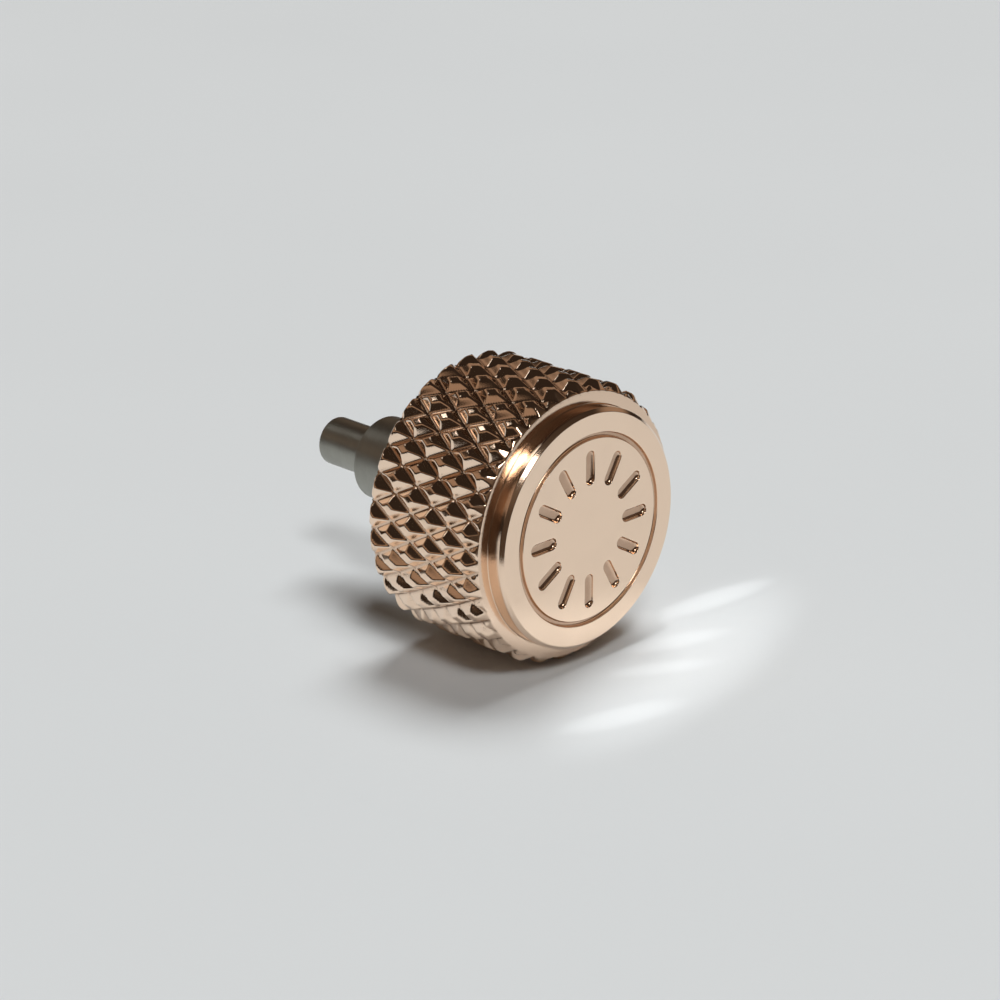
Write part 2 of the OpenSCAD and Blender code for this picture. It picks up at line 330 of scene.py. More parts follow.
class Finish(NodeTree):
    """The nodes of one procedural material. Its fields are in millimetres."""

    def __init__(self, name):
        self.material = bpy.data.materials.new(name)
        super().__init__(self.material)
        place = self.add("ShaderNodeTexCoord").outputs["Object"]
        self.place = self.vector("SCALE", place, scale=1 / MM)

    def vector(self, operation, first, second=None, scale=None):
        """Vector Math on one or two vectors."""
        sockets = {0: first}
        if second is not None:
            sockets[1] = second
        if scale is not None:
            sockets["Scale"] = scale
        node = self.add("ShaderNodeVectorMath", {"operation": operation}, sockets)
        return node.outputs["Value" if operation == "LENGTH" else "Vector"]

    def stretched(self, along, across, up):
        """The place on the piece, stretched along the crown's axis, across it and upwards."""
        return self.vector("MULTIPLY", self.place, (along, across, up))

    def turned_place(self):
        """A vector that is the same all round the axis: the place along the axis and the radius."""
        from_axis = self.vector("SUBTRACT", self.place, (0.0, 0.0, AXIS_Z / MM))
        radius = self.vector("LENGTH", self.vector("MULTIPLY", from_axis, (0.0, 1.0, 1.0)))
        along = self.add("ShaderNodeSeparateXYZ", sockets={0: self.place}).outputs["X"]
        return self.add("ShaderNodeCombineXYZ", sockets={"X": along, "Y": radius}).outputs[0]

    def noise(self, scale, detail=3.0, roughness=0.55, place=None):
        """Noise from 0 to 1 with a scale in cells per millimetre."""
        place = place or self.place
        sockets = {"Vector": place, "Scale": scale, "Detail": detail, "Roughness": roughness}
        return Field(self, self.add("ShaderNodeTexNoise", sockets=sockets).outputs["Fac"])

    def attribute(self, name):
        """A number that is stored on the mesh."""
        return Field(self, self.add("ShaderNodeAttribute", {"attribute_name": name}).outputs["Fac"])

    def blend(self, first, second, factor):
        """Mix of two colours."""
        node = self.add("ShaderNodeMix", {"data_type": "RGBA"}, {0: factor, 6: first, 7: second})
        return node.outputs[2]

    def bump(self, height, depth):
        """Normal from a height field, with a depth in millimetres."""
        sockets = {"Height": height, "Distance": depth * MM, "Strength": 1.0}
        return self.add("ShaderNodeBump", sockets=sockets).outputs["Normal"]

    def surface(self, **sockets):
        """Principled surface with these sockets, joined to the output."""
        named = {name.replace("_", " "): value for name, value in sockets.items()}
        shader = self.add("ShaderNodeBsdfPrincipled", sockets=named)
        self.add("ShaderNodeOutputMaterial", sockets={"Surface": shader.outputs[0]})
        return self.material


def opaque(rgb, tone=1.0):
    """A colour as a socket takes it, made lighter or darker by a tone."""
    return (*(channel * tone for channel in rgb), 1.0)


def rose_gold(colours):
    """Polished rose gold: faint smudges and hairlines on top, and painted shade that darkens it in
    the grooves, the engraving and the shoulder's corner.
    """
    finish = Finish("rose_gold")
    hollow = finish.attribute("hollow")
    smudge = finish.noise(scale=0.7, detail=4.0, roughness=0.6).stepped(low=0.42, high=0.72)
    grain = finish.noise(scale=38.0, detail=2.0)
    brushed = finish.stretched(along=1.0, across=1.2, up=14.0)
    hairline = finish.noise(scale=9.0, roughness=0.7, place=brushed)
    # Painted shade: the gold turns towards its darker colour where the mesh's hollow layer is high
    base = finish.blend(opaque(colours.gold), opaque(colours.gold_painted_shade), hollow * 0.75)
    base = finish.blend(base, opaque(colours.gold, tone=0.92), smudge * 0.35)
    return finish.surface(
        Base_Color=base,
        Metallic=1.0,
        Roughness=0.09 + smudge * 0.05 + hollow * 0.06 + grain * 0.03,
        Normal=finish.bump(grain * 0.5 + hairline * 0.5, depth=0.0012),
    )


def turned_metal(name, rgb, shine=0.22, lines=26.0, depth=0.0022, stain=0.2):
    """Turned metal with fine tool lines around the axis, and a faint uneven stain."""
    finish = Finish(name)
    tool_lines = finish.noise(scale=lines, detail=2.0, roughness=0.6, place=finish.turned_place())
    cloud = finish.noise(scale=1.6, detail=4.0).stepped(low=0.35, high=0.75)
    grain = finish.noise(scale=45.0, detail=2.0)
    darkening = opaque(rgb, tone=0.62)
    return finish.surface(
        Base_Color=finish.blend(opaque(rgb), darkening, cloud * stain + tool_lines * 0.15),
        Metallic=1.0,
        Roughness=shine + tool_lines * 0.1 + cloud * 0.06 + grain * 0.04,
        Normal=finish.bump(tool_lines * 0.8 + grain * 0.2, depth),
    )


def moulded_rubber(colours):
    """Black rubber with a fine moulded grain and a little dust."""
    finish = Finish("gasket_rubber")
    grain = finish.noise(scale=30.0)
    dust = finish.noise(scale=5.0, detail=4.0).stepped(low=0.5, high=0.8)
    return finish.surface(
        Base_Color=finish.blend(opaque(colours.rubber), opaque(colours.dust), dust * 0.5),
        Roughness=0.5 + grain * 0.15 + dust * 0.15,
        Normal=finish.bump(grain, depth=0.004),
    )


def drawn_wire(colours):
    """Spring wire with draw marks and a straw-coloured tint in places."""
    finish = Finish("spring_wire")
    drawn = finish.stretched(along=6.0, across=1.0, up=1.0)
    marks = finish.noise(scale=20.0, roughness=0.6, place=drawn)
    tint = finish.noise(scale=1.8).stepped(low=0.45, high=0.7)
    return finish.surface(
        Base_Color=finish.blend(opaque(colours.wire), opaque(colours.wire_tint), tint * 0.35),
        Metallic=1.0,
        Roughness=0.22 + marks * 0.14,
        Normal=finish.bump(marks, depth=0.002),
    )


# Shapes around the axis

# How an outline's corner is rounded: the least bend that is rounded, the largest share of a side
# that a rounding takes, and how far outside the rounding its support points lie
LEAST_BEND = 0.02
ROUNDED_SHARE = 0.42
SUPPORT_SHARE = 0.15
# A thread's section: the slope of its sides in depths for each pitch, the share of its depth by
# which its crest is cut flat, and its runout in pitches
THREAD_SLOPE = 2.5
THREAD_CREST = 0.125
THREAD_RUNOUT = 0.5
# Depth of a full internal thread, in pitches, and the share of it that a tapped hole has
THREAD_HEIGHT = 0.541
TAPPED_SHARE = 0.8
# Radii that round the edges of the pieces
FINE_EDGE = 0.02 * MM
EDGE = 0.03 * MM
SOFT_EDGE = 0.05 * MM
ROUND_EDGE = 0.06 * MM


def at(turns, radius, distance):
    """Points at turns about the axis (0 is up), at a radius and a distance behind the face."""
    turns, radius, distance = np.broadcast_arrays(turns, radius, distance)
    return np.stack(
        (FACE_X - distance, radius * np.sin(turns), AXIS_Z + radius * np.cos(turns)), axis=-1
    )


class Skin:
    """Points and faces of one closed mesh, gathered ring by ring around the crown's axis."""

    def __init__(self, around, first_turn=0.0):
        self.turns = first_turn + np.arange(around) * (math.tau / around)
        self.points = []
        self.faces = []
        # Each point's share of painted shade, from 0 to 1, kept as the mesh's hollow layer
        self.hollow = []

    def add(self, points, hollow=0.0):
        """Adds points and returns their numbers."""
        first = len(self.points)
        self.points.extend(map(tuple, points))
        self.hollow.extend(np.broadcast_to(hollow, len(points)).tolist())
        return np.arange(first, first + len(points))

    def ring(self, radius, distance, hollow=0.0):
        """A ring around the axis."""
        return self.add(at(self.turns, radius, distance), hollow)

    def band(self, first, second, slants=None):
        """Joins two rings with quads, or with triangles split one way or the other."""
        corners = zip(first, np.roll(first, -1), np.roll(second, -1), second)
        for i, (a, b, c, d) in enumerate(corners):
            if slants is None:
                self.faces.append((a, b, c, d))
            elif slants[i]:
                self.faces += [(a, b, c), (a, c, d)]
            else:
                self.faces += [(a, b, d), (b, c, d)]

    def bands(self, rings):
        """Joins rings one after the other."""
        for first, second in zip(rings, rings[1:]):
            self.band(first, second)

    def cap(self, ring, distance):
        """Closes a ring with a fan to a point on the axis."""
        middle = self.add(at(0.0, 0.0, distance)[None])[0]
        self.faces += [(a, b, middle) for a, b in zip(ring, np.roll(ring, -1))]

    def piece(self, name, material, body, node, slot, sharp=50.0):
        """Makes the object, with its normals outwards, and sets it in the place of its node."""
        mesh = bpy.data.meshes.new(name)
        mesh.from_pydata(self.points, [], [tuple(map(int, face)) for face in self.faces])
        mesh.validate()
        mesh.polygons.foreach_set("use_smooth", np.ones(len(mesh.polygons), bool))
        mesh.set_sharp_from_angle(angle=math.radians(sharp))
        # The hollow layer carries each point's painted shade to the material
        darkening = mesh.attributes.new("hollow", "FLOAT", "POINT")
        darkening.data.foreach_set("value", np.array(self.hollow, np.float32))
        mesh.materials.append(material)
        mesh.update()
        if signed_volume(mesh) < 0:
            mesh.flip_normals()
        shown = bpy.data.objects.new(name, mesh)
        bpy.context.scene.collection.objects.link(shown)
        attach(shown, body)
        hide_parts(node)
        return shown


def signed_volume(mesh):
    """Volume inside a closed mesh, negative where its faces look inwards."""
    mesh.calc_loop_triangles()
    points = np.zeros(len(mesh.vertices) * 3)
    mesh.vertices.foreach_get("co", points)
    corners = np.zeros(len(mesh.loop_triangles) * 3, np.int32)
    mesh.loop_triangles.foreach_get("vertices", corners)
    a, b, c = np.moveaxis(points.reshape(-1, 3)[corners.reshape(-1, 3)], 1, 0)
    return float(np.einsum("ij,ij->i", a, np.cross(b, c)).sum() / 6)


def eased(outline, steps=5):
    """An outline of (radius, distance, rounding) corners with each corner rounded.

    A support point close to both ends of each rounding lets the flats between them shade flat.
    """
    corners = [np.array(corner[:2], float) for corner in outline]
    made = []
    for i, corner in enumerate(corners):
        before, after = corners[i - 1], corners[(i + 1) % len(corners)]
        rounding = outline[i][2]
        to_before, to_after = before - corner, after - corner
        reach_before, reach_after = np.linalg.norm(to_before), np.linalg.norm(to_after)
        to_before, to_after = to_before / reach_before, to_after / reach_after
        half_bend = (math.pi - math.acos(np.clip(to_before @ to_after, -1, 1))) / 2
        if not rounding or half_bend < LEAST_BEND:
            made.append(corner)
            continue
        trim = min(rounding * math.tan(half_bend), ROUNDED_SHARE * min(reach_before, reach_after))
        radius = trim / math.tan(half_bend)
        inwards = to_before + to_after
        centre = corner + inwards / np.linalg.norm(inwards) * radius / math.cos(half_bend)
        support = SUPPORT_SHARE * trim
        start, end = corner + to_before * trim, corner + to_after * trim
        made.append(start + to_before * support)
        bend = 2 * half_bend
        for swing in np.linspace(0, bend, steps + 1):
            spoke = (start - centre) * math.sin(bend - swing) + (end - centre) * math.sin(swing)
            made.append(centre + spoke / math.sin(bend))
        made.append(end + to_after * support)
    return made


def rows_along(first, last, spacing):
    """Corners in a straight line between two others, without rounding, for a thread."""
    count = max(2, round(math.dist(first, last) / spacing))
    return [(*corner, 0.0) for corner in np.linspace(first, last, count + 1)]


def turned(outline, around, cut=None):
    """A closed turned skin from an outline, with a cut that may change each ring's radii."""
    skin = Skin(around)
    rings = []
    for radius, distance in eased(outline):
        if radius < TINY:
            rings.append(np.repeat(skin.add(at(0.0, 0.0, distance)[None]), around))
            continue
        radii = np.full(around, radius)
        if cut:
            radii = cut(skin.turns, radii, distance)
        rings.append(skin.ring(radii, distance))
    for first, second in zip(rings, rings[1:] + rings[:1]):
        if first[0] == first[1] and second[0] == second[1]:
            continue
        if first[0] == first[1]:
            skin.faces += [(first[0], a, b) for a, b in zip(second, np.roll(second, -1))]
        elif second[0] == second[1]:
            skin.faces += [(second[0], b, a) for a, b in zip(first, np.roll(first, -1))]
        else:
            skin.band(first, second)
    return skin


def threaded(turns, radii, distance, root_r, crest_r, start, end, pitch):
    """Radii of a ring, with a thread where the ring lies on its root, faded out at both ends."""
    if abs(radii[0] - root_r) > TINY or not start < distance < end:
        return radii
    wave = np.mod((distance - start) / pitch + turns / math.tau, 1.0)
    tooth = np.clip(np.abs(wave - 0.5) * THREAD_SLOPE - THREAD_CREST, 0.0, 1.0)
    fade = np.clip(min(distance - start, end - distance) / (THREAD_RUNOUT * pitch), 0.0, 1.0)
    return crest_r + (root_r - crest_r) * (1.0 - (1.0 - tooth) * fade)


def ring_outline(node, inner_r, roundings):
    """Outline of a plain ring in a node's place, with the roundings of its four edges."""
    outer_r, front, rear = span(node)
    corners = ((inner_r, front), (outer_r, front), (outer_r, rear), (inner_r, rear))
    return [(*corner, rounding) for corner, rounding in zip(corners, roundings)]


def hexagon(turns, across_flats):
    """Radius of a hexagon with one corner up."""
    off_flat = np.mod(turns, math.pi / 3) - math.pi / 6
    return across_flats / 2 / np.cos(off_flat)


# Knurled head

# Rows and columns of the mesh in half a diamond, and rows in the skirt's plain end
CUTS_PER_CELL = 11
END_ROWS = 8
# Share of a groove's rounding by which its bottom is set lower again
GROOVE_SINK = 0.6
# How fast the painted shade of a groove fades up its sides, and the painted shade at the shoulder's
# corner
SHADE_FALL = 5.0
CORNER_SHADE = 0.3
# Shift that keeps a row of points clear of the border between two cells
ROW_SHIFT = 0.01 * MM
# How many times wider than long the shoulder's rounded outer edge is
EDGE_RATIO = 3
# Places across an engraved groove, from its edge (0) to its middle (1), and the exponents that
# flatten its bottom and steepen its sides
GROOVE_PLACES = (0.0, 0.03, 0.08, 0.16, 0.28, 0.44, 0.62)
GROOVE_BOTTOM = 3.2
GROOVE_SIDES = 2.2
# The groove's rounded edge, in lips: distances inside the outline with their depths, and its height
LIP_SECTION = ((-2.5, 0.0), (-1.0, 0.0), (-0.4, 0.12))
LIP_HEIGHT = 0.35
# Distance, in millimetres, under which two points of the flat face's outlines are one
FACE_TOLERANCE = 1e-7


def soft_lower(first, second, soft):
    """The lower of two heights, rounded where they differ by less than soft."""
    gap = np.abs(first - second)
    return np.minimum(first, second) - np.clip(soft - gap, 0, None) ** 2 / (4 * soft)


def knurl_place(sizes, turns, distance):
    """Place around the head and along it, counted in diamonds."""
    half_step = math.pi / sizes.diamonds / 2
    around = (turns - sizes.knurl_turn - half_step) * sizes.diamonds / math.tau
    return around, (distance - sizes.first_points) / sizes.diamond_l


def knurl_height(sizes, turns, distance):
    """Height of the knurl above its groove bottoms, 0 to 1, where two sets of V grooves cross."""
    around, along = knurl_place(sizes, turns, distance)
    sides = []
    for slant in (around + along, around - along):
        to_groove = 0.5 - np.abs(slant - np.round(slant))
        sink = sizes.valley_round * GROOVE_SINK
        sides.append(2 * (np.sqrt(to_groove**2 + sizes.valley_round**2) - sink))
    flat = 1 - sizes.tip_flat
    topped = soft_lower(soft_lower(*sides, sizes.ridge_round), flat, sizes.ridge_round)
    return np.clip(topped / flat, 0, 1)


def knurl_radii(sizes, height, distance):
    """Radii of the knurl at one distance, from its heights there, with both chamfers."""
    radii = sizes.knurl_r - sizes.knurl_depth * (1 - height)
    run = (distance - sizes.shoulder) / sizes.chamfer_l
    front_r = sizes.knurl_r + sizes.front_chamfer * (run - 1)
    rear_r = sizes.knurl_r - sizes.rear_chamfer + end_of("crown_head") - distance
    return soft_lower(radii, min(front_r, rear_r), sizes.chamfer_round)


def knurl_slants(sizes, turns, distance):
    """Which way each cell is split, so that the splits follow the grooves."""
    around, along = knurl_place(sizes, turns, distance)
    return (np.floor(2 * around) + np.floor(2 * along)) % 2 == 0


def head_rows(sizes):
    """Distances of the knurl's rows, from the shoulder to the skirt's rear edge."""
    spacing = sizes.diamond_l / 2 / CUTS_PER_CELL
    head_end = end_of("crown_head")
    count = math.floor((head_end - sizes.rear_chamfer - sizes.first_points) / spacing)
    middle = sizes.first_points + spacing * np.arange(count + 1)
    before = math.floor((sizes.first_points - sizes.shoulder) / spacing - 0.5)
    front = sizes.first_points - spacing * np.arange(before, 0, -1)
    rear = np.linspace(middle[-1], head_end, END_ROWS)[1:]
    return np.concatenate(([sizes.shoulder], front, middle, rear))


def stadium(half_run, radius, steps=14):
    """Outline of a baton with round ends, about its own middle."""
    swings = np.linspace(-math.pi / 2, math.pi / 2, steps)
    outer = np.stack((half_run + radius * np.cos(swings), radius * np.sin(swings)), axis=-1)
    return np.concatenate((outer, -outer))


def groove_section(sizes, half_w):
    """Section of a groove from the face to near its middle: insets from its outline, and depths."""
    section = [(inset * sizes.lip, drop * sizes.lip) for inset, drop in LIP_SECTION]
    for place in GROOVE_PLACES:
        depth = (1 - (1 - place) ** GROOVE_BOTTOM) ** (1 / GROOVE_SIDES)
        section.append((place * half_w, depth * sizes.depth + LIP_HEIGHT * sizes.lip))
    return section


def engrave_batons(skin, sizes):
    """Cuts the batons, and returns their outlines in the face as point numbers."""
    half_w = sizes.baton_w / 2
    half_run = (sizes.baton_l - sizes.baton_w) / 2
    middle = sizes.baton_reach - sizes.baton_l / 2
    outlines = []
    for i in range(sizes.batons):
        swing = math.tau * i / sizes.batons
        loops = []
        for inset, drop in groove_section(sizes, half_w):
            flat = stadium(half_run, half_w - inset)
            radii = np.hypot(middle + flat[:, 0], flat[:, 1])
            turns = swing + np.arctan2(flat[:, 1], middle + flat[:, 0])
            # Painted shade deepens with the engraving's depth
            loops.append(skin.add(at(turns, radii, drop), min(1.0, drop / sizes.depth)))
        skin.bands(loops)
        skin.faces.append(tuple(loops[-1]))
        outlines.append(loops[0])
    return outlines


def engrave_ring(skin, sizes):
    """Cuts the ring, and returns its two outlines in the face as point numbers."""
    half_w = sizes.ring_w / 2
    side = groove_section(sizes, half_w)
    section = [(sizes.ring_r - half_w + inset, drop) for inset, drop in side]
    section += [(sizes.ring_r + half_w - inset, drop) for inset, drop in reversed(side)]
    # Painted shade deepens with the engraving's depth
    rings = [skin.ring(radius, drop, min(1.0, drop / sizes.depth)) for radius, drop in section]
    skin.bands(rings)
    return [rings[0], rings[-1]]


def fill_face(skin, edge, outlines):
    """Fills the flat face between its edge and the engraved outlines."""
    loops = [edge, *outlines]
    given = np.concatenate(loops)
    flat = [Vector((skin.points[i][1] / MM, (skin.points[i][2] - AXIS_Z) / MM)) for i in given]
    borders, first = [], 0
    for loop in loops:
        count = len(loop)
        borders += [(first + i, first + (i + 1) % count) for i in range(count)]
        first += count
    _, _, faces, origins, _, _ = delaunay_2d_cdt(flat, borders, [], 1, FACE_TOLERANCE)
    if any(not origin for origin in origins):
        raise RuntimeError("The engraved outlines cross each other or the face's edge")
    numbers = [int(given[origin[0]]) for origin in origins]
    loop_of = np.repeat(np.arange(len(loops)), [len(loop) for loop in loops])
    loop_of = [int(loop_of[origin[0]]) for origin in origins]
    ring_in, ring_out = len(loops) - 2, len(loops) - 1
    for face in faces:
        on = {loop_of[i] for i in face}
        inside_baton = len(on) == 1 and 0 < min(on) < ring_in
        if not inside_baton and on != {ring_in, ring_out}:
            skin.faces.append(tuple(numbers[i] for i in face))


class CROWN_OT_head(bpy.types.Operator):
    """Cuts the knurled head with its raised face, shoulder, engraving and hollow skirt"""

    bl_idname = "crown.head"
    bl_label = "Cut the knurled head"

    def execute(self, context):
        sizes = context.scene.crown_head_sizes
        engraving = context.scene.crown_engraving
        skin = Skin(2 * sizes.diamonds * CUTS_PER_CELL, sizes.knurl_turn)
        groove_r = sizes.knurl_r - sizes.knurl_depth
        front = [
            (sizes.face_r - 2 * sizes.face_bevel, 0.0, 0.0),
            (sizes.face_r - sizes.face_bevel, 0.0, sizes.bevel_edge),
            (sizes.face_r, sizes.face_bevel, sizes.bevel_edge),
            (sizes.face_r, sizes.shoulder, sizes.foot),
            (groove_r, sizes.shoulder, 0.0),
        ]
        # Painted shade grows towards the shoulder's corner
        rings = [
            skin.ring(radius, distance, min(1.0, distance / sizes.shoulder) * CORNER_SHADE)
            for radius, distance in eased(front, steps=8)[:-1]
        ]
        skin.bands(rings)

        edge, previous = rings[0], rings[-1]
        head_end = end_of("crown_head")
        for row, distance in enumerate(head_rows(sizes)):
            height = knurl_height(sizes, skin.turns, distance)
            radii = knurl_radii(sizes, height, distance)
            if row == 0:
                inner = skin.ring(radii - sizes.shoulder_edge, distance, CORNER_SHADE)
                skin.band(previous, inner)
                previous = inner
                distance = distance + sizes.shoulder_edge / EDGE_RATIO
            # Painted shade darkens the grooves' bottoms and fades up their sides
            ring = skin.ring(radii, distance, np.clip(1 - height * SHADE_FALL, 0, 1))
            middles = skin.turns + math.pi / len(skin.turns)
            slants = knurl_slants(sizes, middles, distance - ROW_SHIFT)
            skin.band(previous, ring, slants)
            previous = ring

        # The last corner isn't built: it only gives the rounding of the bore's edge its direction
        inside = [
            (sizes.bore_r, head_end, SOFT_EDGE),
            (sizes.bore_r, sizes.front_t, SOFT_EDGE),
            (0.0, sizes.front_t, 0.0),
            (groove_r, head_end, 0.0),
        ]
        rings = [previous, *(skin.ring(*corner) for corner in eased(inside)[:-2])]
        skin.bands(rings)
        skin.cap(rings[-1], sizes.front_t)

        outlines = engrave_batons(skin, engraving) + engrave_ring(skin, engraving)
        fill_face(skin, edge, outlines)
        material = rose_gold(context.scene.crown_finishes)
        skin.piece("knurled_head", material, "crown", "crown_head", "rose_gold", sharp=60.0)
        return {"FINISHED"}


# Inner pieces

# Distances between the rows of points along the sleeve's thread and the tapped hole's
SLEEVE_ROW = 0.025 * MM
STEM_ROW = 0.02 * MM
# Half the angle that each flat of the post's hexagon keeps where the corners are turned off
KEY_CORNER = math.radians(27)
# Length over which the hexagon runs out into the round post
KEY_RUNOUT = 0.01 * MM


class CROWN_OT_sleeve(bpy.types.Operator):
    """Turns the steel sleeve inside the skirt, with the thread that takes the case tube"""

    bl_idname = "crown.sleeve"
    bl_label = "Turn the thread sleeve"

    def execute(self, context):
        sizes = context.scene.crown_inner_sizes
        outer_r, front, rear = span("thread_sleeve")
        start, pitch = sizes.thread_start, sizes.thread_pitch
        end = start + sizes.thread_turns * pitch
        root_r, crest_r = sizes.thread_r, sizes.thread_inner_r
        spigot_r = sizes.spigot_r + sizes.press_gap

        def cut(turns, radii, distance):
            return threaded(turns, radii, distance, root_r, crest_r, start, end, pitch)

        outline = [
            (outer_r, front, sizes.sleeve_round),
            (spigot_r, front, EDGE),
            (spigot_r, sizes.tube_seat, EDGE),
            (crest_r, sizes.tube_seat, EDGE),
            (crest_r, sizes.recess_end, EDGE),
            (root_r, sizes.recess_end, EDGE),
            *rows_along((root_r, start), (root_r, end), SLEEVE_ROW),
            (root_r, rear, ROUND_EDGE),
            (outer_r, rear, SOFT_EDGE),
        ]
        sleeve = turned(outline, around=240, cut=cut)
        material = turned_metal("turned_steel", context.scene.crown_finishes.steel)
        sleeve.piece("threaded_sleeve", material, "crown", "thread_sleeve", "turned_steel")
        return {"FINISHED"}


class CROWN_OT_seals(bpy.types.Operator):
    """Makes the rubber gasket and the steel washer over it"""

    bl_idname = "crown.seals"
    bl_label = "Make the gasket and its washer"

    def execute(self, context):
        sizes = context.scene.crown_inner_sizes
        colours = context.scene.crown_finishes
        rubber = moulded_rubber(colours)
        steel = turned_metal("washer_steel", colours.steel, shine=0.28)
        for node, name, slot, material, rounding in (
            ("seat_gasket", "rubber_gasket", "gasket_rubber", rubber, sizes.gasket_round),
            ("gasket_washer", "gasket_cover_washer", "turned_steel", steel, EDGE),
        ):
            outline = ring_outline(node, sizes.seal_inner_r, [rounding] * 4)
            turned(outline, around=144).piece(name, material, "crown", node, slot)
        return {"FINISHED"}


class CROWN_OT_tube(bpy.types.Operator):
    """Turns the centre tube that carries the spring and the post"""

    bl_idname = "crown.tube"
    bl_label = "Turn the centre tube"

    def execute(self, context):
        sizes = context.scene.crown_inner_sizes
        outer_r, front, rear = span("centre_tube")
        bush_start = start_of("drive_bush")
        outline = [
            (0.0, front, 0.0),
            (sizes.spigot_r, front, ROUND_EDGE),
            (sizes.spigot_r, sizes.tube_seat, FINE_EDGE),
            (outer_r, sizes.tube_seat, SOFT_EDGE),
            (outer_r, rear - sizes.tube_bevel, FINE_EDGE),
            (outer_r - sizes.tube_bevel, rear, FINE_EDGE),
            (sizes.bush_seat_r, rear, FINE_EDGE),
            (sizes.bush_seat_r, bush_start, FINE_EDGE),
            (sizes.bore_r, bush_start, FINE_EDGE),
            (sizes.bore_r, sizes.bore_start, FINE_EDGE),
            (0.0, sizes.bore_start, 0.0),
        ]
        tube = turned(outline, around=160)
        steel = context.scene.crown_finishes.tube
        material = turned_metal("tube_steel", steel, shine=0.34, lines=18.0)
        tube.piece("steel_centre_tube", material, "crown", "centre_tube", "tube_steel")
        return {"FINISHED"}


class CROWN_OT_brass(bpy.types.Operator):
    """Makes the drive bush with its hexagonal hole, and the slip washer"""

    bl_idname = "crown.brass"
    bl_label = "Make the brass bush and washer"

    def execute(self, context):
        sizes = context.scene.crown_inner_sizes
        brass = context.scene.crown_finishes.brass
        inner_r = sizes.hexagon_hole / 2

        def cut(turns, radii, distance):
            return hexagon(turns, sizes.hexagon_hole) if abs(radii[0] - inner_r) < TINY else radii

        outline = ring_outline("drive_bush", inner_r, (0.0, EDGE, EDGE, 0.0))
        bush = turned(outline, around=144, cut=cut)
        material = turned_metal("bush_brass", brass, shine=0.24)
        bush.piece("brass_drive_bush", material, "crown", "drive_bush", "bush_brass")

        roundings = (FINE_EDGE, EDGE, FINE_EDGE, FINE_EDGE)
        washer = turned(ring_outline("slip_washer", sizes.slip_inner_r, roundings), around=96)
        material = turned_metal("washer_brass", brass, shine=0.2)
        washer.piece("brass_slip_washer", material, "post", "slip_washer", "bush_brass")
        return {"FINISHED"}


class CROWN_OT_post(bpy.types.Operator):
    """Turns the sprung post, with its nose, flange, hexagon and tapped hole"""

    bl_idname = "crown.post"
    bl_label = "Turn the stem post"

    def execute(self, context):
        sizes = context.scene.crown_inner_sizes
        flange_r, front, rear = span("stem_post")
        start, end = rear - sizes.stem_hole_l, rear - sizes.stem_lead
        key_r, root_r, pitch = sizes.hexagon_key / 2, sizes.stem_hole_r, sizes.stem_pitch
        crest_r = root_r - THREAD_HEIGHT * pitch * TAPPED_SHARE

        def cut(turns, radii, distance):
            if abs(radii[0] - key_r) < TINY:
                return np.minimum(hexagon(turns, sizes.hexagon_key), key_r / math.cos(KEY_CORNER))
            return threaded(turns, radii, distance, root_r, crest_r, start, end, pitch)

        outline = [
            (0.0, front, 0.0),
            (sizes.nose_r, front, ROUND_EDGE),
            (sizes.nose_r, sizes.flange_start, FINE_EDGE),
            (flange_r, sizes.flange_start, FINE_EDGE),
            (flange_r, sizes.flange_end, FINE_EDGE),
            (key_r, sizes.flange_end, 0.0),
            (key_r, sizes.key_end, 0.0),
            (sizes.post_r, sizes.key_end + KEY_RUNOUT, 0.0),
            (sizes.post_r, rear, sizes.post_round),
            (root_r + EDGE, rear, FINE_EDGE),
            *rows_along((root_r, end), (root_r, start), STEM_ROW),
            (0.0, start, 0.0),
        ]
        post = turned(outline, around=144, cut=cut)
        steel = context.scene.crown_finishes.tube
        material = turned_metal("post_steel", steel, shine=0.32, lines=22.0)
        post.piece("sprung_stem_post", material, "post", "stem_post", "post_steel")
        return {"FINISHED"}


class CROWN_OT_spring(bpy.types.Operator):
    """Winds the compression spring"""

    bl_idname = "crown.spring"
    bl_label = "Wind the post spring"

    def execute(self, context):
        sizes = context.scene.crown_inner_sizes
        outer_r, front, rear = span("post_spring")
        coil_r = outer_r - sizes.wire_r
        sides, rings_per_turn = 16, 60
        count = round(sizes.spring_turns * rings_per_turn)
        rise = rear - front - 2 * sizes.wire_r
        skin = Skin(sides)
        rings = []
        for i in range(count + 1):
            turn = math.tau * i / rings_per_turn
            middle = front + sizes.wire_r + rise * i / count
            radii = coil_r + sizes.wire_r * np.cos(skin.turns)
            rings.append(skin.add(at(turn, radii, middle + sizes.wire_r * np.sin(skin.turns))))
        skin.bands(rings)
        skin.faces += [tuple(rings[0]), tuple(rings[-1])]
        material = drawn_wire(context.scene.crown_finishes)
        spring = skin.piece("wound_post_spring", material, "crown", "post_spring", "spring_steel")
        travel = next(j["range_m"][1] for j in frame["joints"] if j["name"] == "post_slide")
        1 - travel / (rear - front)
        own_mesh(spring)
        return {"FINISHED"}


# Stage

# Distance of the soft lamps from the crown, in metres
LAMP_DISTANCE = 1.5
# Those lamps: name, direction from the crown, size in metres, power in watts, and whether the lamp
# only shows in the metal or only lights the floor
LAMPS = (
    ("overhead_softbox", (-0.13, 0.32, 0.93), (0.7, 0.7), 17.6, False),
    ("front_lamp", (0.5, -0.33, 0.8), (0.3, 0.3), 8.0, False),
    ("window", (0.66, -0.34, 0.67), (0.5, 0.34), 3.6, True),
    ("key_lamp", (0.52, -0.33, 0.79), (0.2, 0.16), 1.6, True),
    ("rear_tube", (-0.65, -0.19, 0.73), (0.5, 0.16), 0.45, True),
)
LAMP_TINT = (1.0, 0.985, 0.95)
# Height of the spots that stand in for the light that the flat face throws on the floor
STREAK_HEIGHT = 40 * MM
